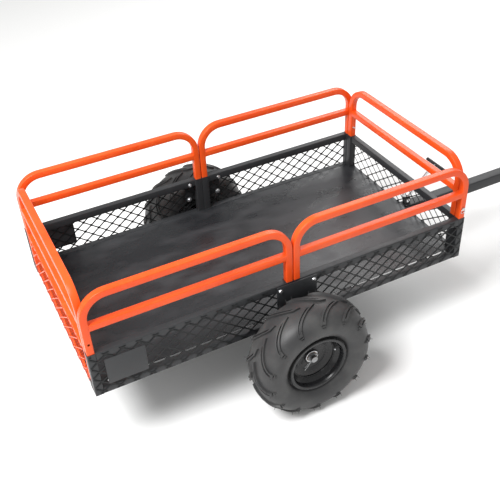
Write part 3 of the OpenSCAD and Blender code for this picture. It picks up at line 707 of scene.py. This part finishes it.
def flat_lug():
    """A lug before it is wrapped: X runs round the tyre, Y from the crown outward, Z up from the skin."""
    bm = bmesh.new()
    bmesh.ops.create_grid(bm, x_segments=7, y_segments=12, size=0.5)
    raised = bmesh.ops.extrude_face_region(bm, geom=bm.faces[:])["geom"]
    top = [v for v in raised if isinstance(v, bmesh.types.BMVert)]
    bmesh.ops.translate(bm, vec=(0, 0, 1), verts=top)
    bmesh.ops.scale(bm, vec=(0.86, 0.985, 1), verts=top)
    groove = [f for f in raised if isinstance(f, bmesh.types.BMFace)
              and abs(f.calc_center_median().x) < 0.2 and abs(f.calc_center_median().y) < 0.42]
    bmesh.ops.inset_region(bm, faces=groove, thickness=0.05, depth=-0.75, use_even_offset=True)
    foot = bmesh.ops.create_cube(bm, size=1.0)["verts"]
    bmesh.ops.scale(bm, vec=(0.72, 0.05, 0.6), verts=foot)
    bmesh.ops.translate(bm, vec=(0.05, 0.565, 0.3), verts=foot)
    toe = bmesh.ops.create_cone(bm, cap_ends=True, segments=3, radius1=0.5, radius2=0.36, depth=0.5)["verts"]
    bmesh.ops.scale(bm, vec=(0.9, 0.075, 1), verts=toe)
    bmesh.ops.translate(bm, vec=(0.1, 0.655, 0.25), verts=toe)
    for x, y in ((0.32, 0.3), (-0.32, 0.44), (0.1, 0.62)):
        hair = bmesh.ops.create_cone(bm, segments=3, radius1=0.5, radius2=0.25, depth=1.0)["verts"]
        bmesh.ops.scale(bm, vec=(0.1, 0.02, 1.5), verts=hair)
        bmesh.ops.translate(bm, vec=(x, y, 1.55), verts=hair)
    length = LUG_END - LUG_START
    for v in bm.verts:
        outward = v.co.y + 0.5
        width = LUG_WIDTH * (1.35 - 0.35 * min(outward, 1))
        sweep = LUG_SWEEP * max(0.0, 1 - outward) ** 1.7
        height = LUG_HEIGHT * (1 - 0.4 * max(0.0, outward - 0.5)) * v.co.z if v.co.z > 0 else -0.003
        v.co = Vector((v.co.x * width + sweep, LUG_START + outward * length, height * 0.98))
    return bm


def tyre_mesh():
    """The carcass with its beads, and both rows of lugs wrapped over it."""
    skin = carcass.points[1::4]
    bead = RIM_HALF - 0.0035
    half = [(FLANGE_RADIUS + 0.0016, bead + 0.0015), (FLANGE_RADIUS - 0.0005, bead),
            (SEAT_RADIUS + 0.0003, bead), (SEAT_RADIUS + 0.0003, bead - 0.012), (0.125, bead - 0.010)]
    lining = [(0.150, 0.070), (0.180, 0.066), (0.200, 0.050), (0.212, 0.026)]
    side = [(p.x, p.y) for p in skin] + half + lining
    bm = bmesh.new()
    turned(bm, side + [(r, -z) for r, z in reversed(side)], 96)
    lug = flat_lug()
    shape = bpy.data.meshes.new("lug")
    lug.to_mesh(shape)
    lug.free()
    round_off = carcass.points[0].x
    for way in (1, -1):
        for count in range(LUG_COUNT):
            old = set(bm.verts)
            bm.from_mesh(shape)
            pitch = math.tau * (count + (0.5 if way < 0 else 0.0)) / LUG_COUNT
            for v in (v for v in bm.verts if v not in old):
                spot, outward = carcass.at(v.co.y)
                turn = LUG_TURN + pitch + v.co.x / round_off
                radius, rise = spot + outward * v.co.z
                v.co = (radius * math.cos(turn), radius * math.sin(turn), min(rise, HALF_WIDTH) * way)
    bpy.data.meshes.remove(shape)
    return bm


rubber = Finish("tyre_rubber")
rubber_grain = rubber.noise(380.0, 4.0)
rubber_dust = rubber.band(rubber.noise(16.0, 5.0), 0.35, 0.75)
rubber_pits = rubber.band(rubber.noise(120.0, 2.0), 0.3, 0.42)
rubber.bump(rubber_grain * 0.5 + rubber_pits, 0.16, 0.0008)
rubber_tint = rubber.mix(rubber_dust * 0.8, (0.036, 0.036, 0.037, 1), (0.062, 0.062, 0.061, 1))
tyre_rubber = rubber.surface(rubber_tint, 0.36 + rubber_grain * 0.2)

for side in ("left", "right"):
    bm = tyre_mesh()
    bmesh.ops.transform(bm, matrix=wheel_place(f"{side}_tyre", side), verts=bm.verts)
    made = finished_piece(f"{side}_lugged_tyre", bm, tyre_rubber, 35)
    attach(made, f"{side}_wheel")
    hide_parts(f"{side}_tyre")

# ==== Rims, hubs and valves =======================================================
# The rim is rolled steel with a drop centre, and a dished disc is welded in its well. The
# hub tube is plated and welded in the disc's middle. A snap-in valve stands in the rim wall.

DROP_RADIUS = SEAT_RADIUS - 0.015
SHEET = 0.003
rim_coat = powder_coat("rim_black_coat", (0.012, 0.012, 0.013), (0.026, 0.027, 0.028), 0.2)
bronze = Finish("bush_bronze", metallic=1.0)
bronze_stain = bronze.noise(70.0, 4.0)
bronze.bump(bronze_stain, 0.08, 0.0003)
bush_bronze = bronze.surface(bronze.mix(bronze_stain, (0.5, 0.3, 0.13, 1), (0.36, 0.22, 0.11, 1)),
                             0.28 + bronze_stain * 0.15)

e = RIM_HALF
outer_skin = [(FLANGE_RADIUS, e - 0.001), (FLANGE_RADIUS, e - 0.006), (FLANGE_RADIUS - 0.003, e - 0.0065),
              (FLANGE_RADIUS - 0.004, e - SHEET), (SEAT_RADIUS + 0.003, e - SHEET - 0.001),
              (SEAT_RADIUS, e - 0.010), (SEAT_RADIUS, e - 0.022), (DROP_RADIUS, e - 0.034)]
inner_skin = [(DROP_RADIUS - SHEET, e - 0.035), (SEAT_RADIUS - SHEET, e - 0.023),
              (SEAT_RADIUS - SHEET, e - 0.009), (SEAT_RADIUS, e - 0.001), (FLANGE_RADIUS - 0.004, e)]
disc_outline = [(DROP_RADIUS - 0.001, e - 0.038), (DROP_RADIUS - 0.001, e - 0.042), (0.0625, e - 0.056),
                (0.025, e - 0.056), (0.025, e - 0.052), (0.0605, e - 0.052)]
hub_low, hub_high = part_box("left_hub")
bush_low, bush_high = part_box("left_bushes")
HUB_RADIUS = (hub_high.z - hub_low.z) / 2
BUSH_RADIUS = (bush_high.z - bush_low.z) / 2
hub_out = hub_high.y - (tyre_low.y + tyre_high.y) / 2
hub_in = hub_low.y - (tyre_low.y + tyre_high.y) / 2
VALVE_LEAN = math.atan2(0.012, 0.015)
VALVE_TURN = math.radians(-30)

for side in ("left", "right"):
    place = wheel_place(f"{side}_tyre", side)

    bm = bmesh.new()
    turned(bm, outer_skin + [(r, -z) for r, z in reversed(outer_skin)]
           + [(r, -z) for r, z in reversed(inner_skin)] + inner_skin, 96, 0.0009)
    turned(bm, disc_outline, 96, 0.0016)
    for radius, rise in ((DROP_RADIUS - 0.0035, e - 0.0385), (HUB_RADIUS + 0.0005, e - 0.0515)):
        seam = [(radius + 0.003 * math.cos(a * math.tau / 8), rise + 0.003 * math.sin(a * math.tau / 8))
                for a in range(8)]
        turned(bm, seam, 72)
    bmesh.ops.transform(bm, matrix=place, verts=bm.verts)
    made = finished_piece(f"{side}_steel_rim", bm, rim_coat, 50)
    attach(made, f"{side}_wheel")
    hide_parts(f"{side}_rim")

    bm = bmesh.new()
    turned(bm, [(BUSH_RADIUS, hub_in), (HUB_RADIUS, hub_in), (HUB_RADIUS, hub_out), (BUSH_RADIUS, hub_out)],
           64, 0.001)
    bmesh.ops.transform(bm, matrix=place, verts=bm.verts)
    made = finished_piece(f"{side}_hub_tube", bm, bright_zinc, 40)
    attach(made, f"{side}_wheel")
    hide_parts(f"{side}_hub")

    bm = bmesh.new()
    turned(bm, [(0.0001, -0.002), (0.0075, -0.002), (0.0075, 0.0), (0.0052, 0.002), (0.0052, 0.0068),
                (0.004, 0.009), (0.0038, 0.0235), (0.0001, 0.0235)], 24, 0.0003)
    lean = (Matrix.Rotation(VALVE_TURN, 4, "Z")
            @ Matrix.Translation(((DROP_RADIUS + SEAT_RADIUS) / 2, 0, e - 0.028))
            @ Matrix.Rotation(-VALVE_LEAN, 4, "Y"))
    bmesh.ops.transform(bm, matrix=place @ lean, verts=bm.verts)
    made = finished_piece(f"{side}_valve_stem", bm, tyre_rubber, 40)
    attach(made, f"{side}_wheel")
    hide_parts(f"{side}_valve")

    bm = bmesh.new()
    turned(bm, [(0.0001, 0.0228), (0.0037, 0.0228), (0.0037, 0.0282), (0.0028, 0.0288), (0.0001, 0.0288)],
           24, 0.0003)
    bmesh.ops.transform(bm, matrix=place @ lean, verts=bm.verts)
    made = finished_piece(f"{side}_valve_cap", bm, bright_zinc, 40)
    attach(made, f"{side}_wheel")
    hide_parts(f"{side}_valve")
    repaint(f"{side}_bushes", bush_bronze)

# ==== Pins and rings ==============================================================
# Round wire bent to shape: the split pins through the spindles' ends, and the quick pins
# with their pull rings. All of it is zinc-plated.


def wire(bm, points, radius, closed=False, sides=4):
    """A round wire through points, capped at its ends unless it closes on itself."""
    line = bpy.data.curves.new("wire", "CURVE")
    line.dimensions = "3D"
    line.bevel_depth = radius
    line.bevel_resolution = sides
    line.use_fill_caps = not closed
    run = line.splines.new("POLY")
    run.points.add(len(points) - 1)
    for slot, point in zip(run.points, points):
        slot.co = (*point, 1)
    run.use_cyclic_u = closed
    holder = bpy.data.objects.new("wire", line)
    bpy.context.scene.collection.objects.link(holder)
    mesh = bpy.data.meshes.new_from_object(holder.evaluated_get(bpy.context.evaluated_depsgraph_get()))
    bm.from_mesh(mesh)
    bpy.data.objects.remove(holder)
    bpy.data.curves.remove(line)
    bpy.data.meshes.remove(mesh)


def ring_points(middle, radius, one, other, start=0.0, sweep=math.tau, steps=24):
    """Points round a circle that starts in direction one and turns toward other."""
    count = steps if sweep == math.tau else steps + 1
    turns = [start + sweep * i / steps for i in range(count)]
    return [middle + (one * math.cos(turn) + other * math.sin(turn)) * radius for turn in turns]


SPINDLE_RADIUS = 0.0125
SPLIT_PIN_WIRE = 0.0010
LONG_TAIL = 0.0415
SHORT_TAIL = 0.034
cotter_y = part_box("axle_spindles")[1].y - 0.008
up = Vector((1, 0, 1)).normalized()
bm = bmesh.new()
for way in (1, -1):
    core = Vector((beam_middle_x, way * cotter_y, axle_z))
    sideways = Vector((0, way, 0))
    for leg in (1, -1):
        split = sideways * 0.0009 * leg
        tail = SPINDLE_RADIUS + (LONG_TAIL if leg > 0 else SHORT_TAIL)
        bent = [core + split + up * (SPINDLE_RADIUS + 0.003), core + split - up * (SPINDLE_RADIUS + 0.004),
                core + split * 2.2 - up * (SPINDLE_RADIUS + 0.016), core + split * 4.0 - up * tail]
        wire(bm, bent, SPLIT_PIN_WIRE)
    eye = core + up * (SPINDLE_RADIUS + 0.0062)
    wire(bm, ring_points(eye, 0.0042, -up, sideways, 0.25, math.tau - 0.5), 0.0014)
made = finished_piece("split_pins", bm, bright_zinc, 50)
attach(made, "chassis")
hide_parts("spindle_cotters")

for side, way in (("left", 1), ("right", -1)):
    low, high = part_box(f"{side}_quick_pin")
    pin_x = (low.x + high.x) / 2
    inner = low.y if way > 0 else -high.y
    outer = high.y if way > 0 else -low.y
    collar = outer - 0.0076
    bm = bmesh.new()
    turned(bm, [(0.0001, inner), (0.0026, inner), (0.0038, inner + 0.0025), (0.004, collar),
                (0.0065, collar), (COLLAR_RADIUS, collar + 0.0008), (COLLAR_RADIUS, collar + 0.0052),
                (0.006, collar + 0.006), (0.0001, collar + 0.006)], 28)
    for ball_x in (0.003, -0.003):
        bmesh.ops.create_icosphere(bm, subdivisions=2, radius=0.0018,
                                   matrix=Matrix.Translation((ball_x, 0, inner + 0.006)))
    lay = Matrix.Translation((pin_x, 0, pin_z)) @ Matrix.Rotation(math.radians(-90), 4, "X")
    bmesh.ops.transform(bm, matrix=lay, verts=bm.verts)
    hang = Vector((pin_x, collar + 0.0036, pin_z - 0.0112))
    wire(bm, ring_points(hang, 0.0088, Vector((1, 0, 0)), Vector((0, 0.12, 1)).normalized()), 0.0011, True)
    if way < 0:
        bmesh.ops.transform(bm, matrix=Matrix.Scale(-1, 4, (0, 1, 0)), verts=bm.verts)
    made = finished_piece(f"{side}_ball_lock_pin", bm, bright_zinc, 40)
    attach(made, f"{side}_pin")
    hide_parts(f"{side}_quick_pin")

# ==== Latch =======================================================================
# The latch lever is flat steel with a hook at its foot. It turns on a pivot pin between two
# cheeks, a spring wound round the pin holds it, and a ribbed rubber grip tops it.

repaint("latch_lever", bright_zinc)
low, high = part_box("latch_spring")
pivot_low, pivot_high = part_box("latch_pivot")
SPRING_WIRE = 0.0013
coil_middle = Vector(((pivot_low.x + pivot_high.x) / 2, 0, (pivot_low.z + pivot_high.z) / 2))
coil_radius = (high.x - low.x) / 2 - SPRING_WIRE
coil_start = low.y + SPRING_WIRE
coil_run = high.y - low.y - 2 * SPRING_WIRE
TURNS = 3
STEPS_A_TURN = 20
steps = TURNS * STEPS_A_TURN
turns = [math.tau * i / STEPS_A_TURN for i in range(steps + 1)]
coil = [coil_middle + Vector((coil_radius * math.cos(turn), coil_start + coil_run * i / steps,
                              coil_radius * math.sin(turn))) for i, turn in enumerate(turns)]
leg = [Vector((coil[0].x, coil[0].y, low.z + 0.0004))]
bm = bmesh.new()
wire(bm, leg + coil, SPRING_WIRE * 0.98)
made = finished_piece("coil_spring", bm, bright_zinc, 50)
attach(made, "chassis")
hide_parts("latch_spring")

grip_finish = Finish("grip_rubber")
grip_grain = grip_finish.noise(300.0, 3.0)
grip_finish.bump(grip_grain, 0.15, 0.0005)
grip_tint = grip_finish.mix(grip_grain, (0.018, 0.018, 0.019, 1), (0.035, 0.035, 0.036, 1))
grip_rubber = grip_finish.surface(grip_tint, 0.5 + grip_grain * 0.2)
low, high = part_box("latch_grip")
reach = (high.y - low.y) / 2
grip_radius = (high.z - low.z) / 2
groove_radius = grip_radius * 0.86
rib_radius = grip_radius * 0.98
profile = [(0.0001, -reach), (grip_radius * 0.6, -reach), (grip_radius * 0.95, -reach + 0.003)]
RIBS = 15
for rib in range(RIBS):
    z = -reach + 0.007 + rib * (2 * reach - 0.014) / (RIBS - 1)
    profile += [(groove_radius, z - 0.0022), (rib_radius, z - 0.001), (rib_radius, z + 0.001),
                (groove_radius, z + 0.0022)]
profile += [(grip_radius * 0.95, reach - 0.003), (grip_radius * 0.6, reach), (0.0001, reach)]
bm = bmesh.new()
turned(bm, profile, 28)
lay = Matrix.Translation((low + high) / 2) @ Matrix.Rotation(math.radians(90), 4, "X")
bmesh.ops.transform(bm, matrix=lay, verts=bm.verts)
made = finished_piece("ribbed_grip", bm, grip_rubber, 40)
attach(made, "latch")
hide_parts("latch_grip")

# ==== Studio ======================================================================
# A plain pale floor, a bright even surround and two large soft lights.

FLOOR_SIZE = 60.0
bm = bmesh.new()
bmesh.ops.create_grid(bm, x_segments=1, y_segments=1, size=FLOOR_SIZE / 2)
bmesh.ops.translate(bm, vec=(0, 0, cad_low.z - 0.0005), verts=bm.verts)
paper = Finish("studio_paper")
studio_floor = finished_piece("studio_floor", bm, paper.surface((0.93, 0.93, 0.925, 1), 0.9))
studio_floor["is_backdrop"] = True

scene = bpy.context.scene
scene.view_settings.view_transform = "Standard"
world = bpy.data.worlds.new("studio_surround")
world.use_nodes = True
world.node_tree.nodes["Background"].inputs["Color"].default_value = (1.0, 1.0, 0.995, 1)
world.node_tree.nodes["Background"].inputs["Strength"].default_value = 0.62
scene.world = world


def soft_light(name, spot, aim, size, watts):
    """A square soft light that looks at a point."""
    lamp = bpy.data.lights.new(name, "AREA")
    lamp.size = size
    lamp.energy = watts
    made = bpy.data.objects.new(name, lamp)
    made.location = spot
    made.rotation_euler = (Vector(aim) - Vector(spot)).to_track_quat("-Z", "Y").to_euler()
    scene.collection.objects.link(made)


soft_light("key_light", (-2.6, -0.9, 3.6), (0, 0, 0.3), 1.6, 210.0)
soft_light("rim_light", (2.6, 2.6, 3.2), (0, 0, 0.4), 2.4, 80.0)

camera_data = bpy.data.cameras.new("camera")
camera_data.lens = 55.35
camera_data.sensor_width = 36.0
camera = bpy.data.objects.new("camera", camera_data)
camera_spot = Vector((-1.4619, -2.1930, 2.2171))
camera_view = Vector((0.3398, 0.7164, -0.6094))
camera_roll = math.radians(-3.0)
look = camera_view.to_track_quat("-Z", "Y").to_matrix().to_4x4()
camera.matrix_world = Matrix.Translation(camera_spot) @ look @ Matrix.Rotation(camera_roll, 4, "Z")
scene.collection.objects.link(camera)
scene.camera = camera

low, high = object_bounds()
